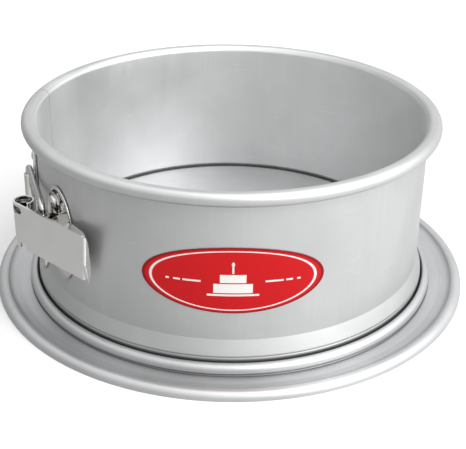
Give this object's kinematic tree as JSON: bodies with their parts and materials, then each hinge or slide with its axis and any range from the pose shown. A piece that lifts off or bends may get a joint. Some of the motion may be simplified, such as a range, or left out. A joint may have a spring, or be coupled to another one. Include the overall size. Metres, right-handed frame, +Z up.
{
  "type": "springform pan",
  "caption": "Round springform cake pan: raised base plate with rolled rim, split ring with rolled top, and a side toggle latch with wire bail.",
  "frame": {"origin": "centre of the base plate, at the height it stands on", "axes": "+Z up along the pan's axis; the front of the pan faces -Y and the latch is on the -X side"},
  "size_m": [0.2568, 0.2568, 0.0943],
  "materials": {
    "base_metal": "satin anodised",
    "ring_metal": "satin anodised",
    "label": "printed gloss film",
    "bracket_steel": "polished stainless steel",
    "rivet_steel": "polished stainless steel",
    "lever_steel": "polished stainless steel, slightly softened",
    "bail_steel": "bright drawn stainless wire"
  },
  "bodies": {
    "base": {"base_plate": "base_metal"},
    "ring": {"ring_band": "ring_metal", "oval_label": "label", "lever_bracket": "bracket_steel", "catch_bracket": "bracket_steel", "lever_rivet_upper": "rivet_steel", "lever_rivet_lower": "rivet_steel", "catch_rivet_upper": "rivet_steel", "catch_rivet_lower": "rivet_steel", "hinge_pin": "rivet_steel"},
    "lever": {"lever": "lever_steel"},
    "bail": {"bail_wire": "bail_steel"}
  },
  "joints": [
    {"name": "ring_lift", "type": "slide", "parent": "base", "child": "ring", "axis": [0, 0, 1], "range_m": [0, 0.1]},
    {"name": "lever_swing", "type": "hinge", "parent": "ring", "child": "lever", "pos_m": [-0.10269, -0.04981, 0.05], "axis": [0, 0, -1], "range_deg": [0, 87.6]},
    {"name": "bail_swing", "type": "hinge", "parent": "ring", "child": "bail", "pos_m": [-0.10696, -0.01338, 0.0468], "axis": [0, 0, -1], "range_deg": [0, 23.2]}
  ],
  "couplings": [
    {"joint": "bail_swing", "follows": "lever_swing", "ratio": 0.26389}
  ]
}
